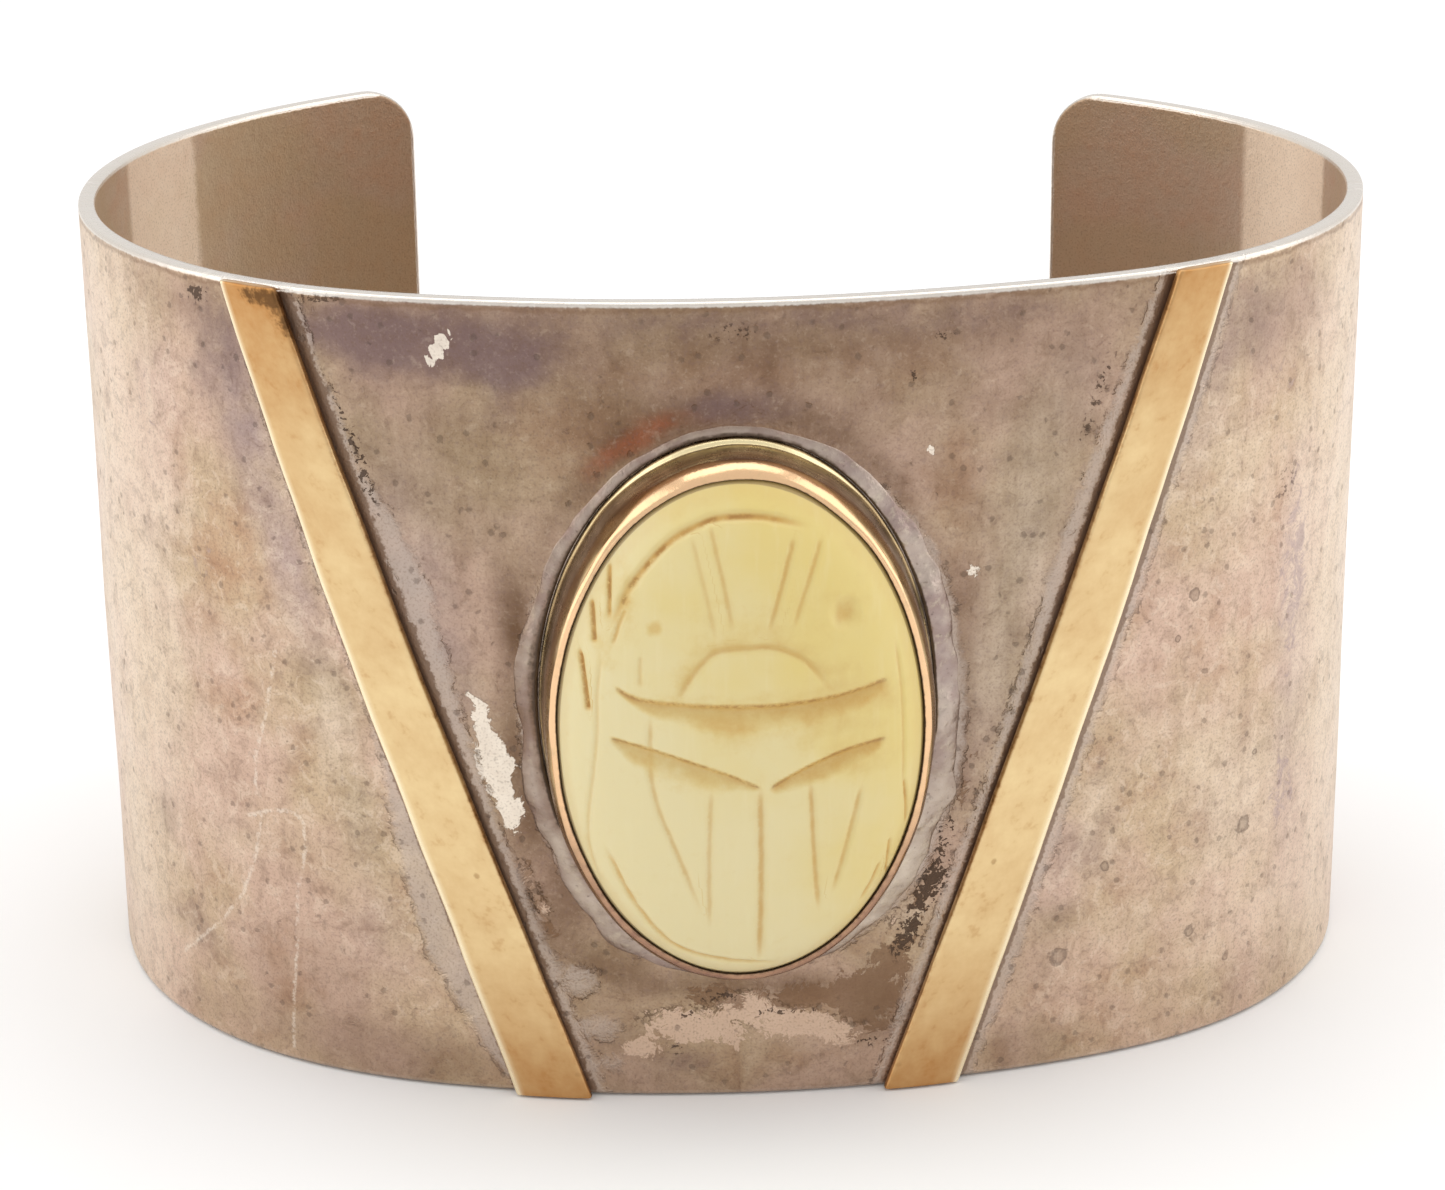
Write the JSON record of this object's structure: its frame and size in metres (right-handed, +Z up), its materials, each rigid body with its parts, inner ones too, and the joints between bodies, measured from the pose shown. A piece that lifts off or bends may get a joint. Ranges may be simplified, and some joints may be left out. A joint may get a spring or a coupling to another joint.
{
  "type": "scarab cuff bracelet",
  "caption": "Rigid open cuff of thin silver sheet with a carved oval scarab in a raised gold setting on its front, between leaning flat gold bars.",
  "frame": {"origin": "under the middle of the whole object, on the surface that the cuff's lower rim rests on", "axes": "+Z up along the wrist, through both rims; the carved scarab looks along -Y and the cuff's opening is at +Y; +X is to the right of someone who looks at the scarab"},
  "size_m": [0.062, 0.0498, 0.0384],
  "materials": {
    "silver": "worn satin with a brown patina",
    "gold": "satin",
    "setting_gold": "burnished and darkened",
    "carved_bone": "semi-matt, polished and carved"
  },
  "bodies": {
    "root": {"cuff_band": "silver", "gold_bar_left": "gold", "gold_bar_right": "gold", "bezel": "setting_gold", "scarab_stone": "carved_bone"}
  },
  "joints": []
}
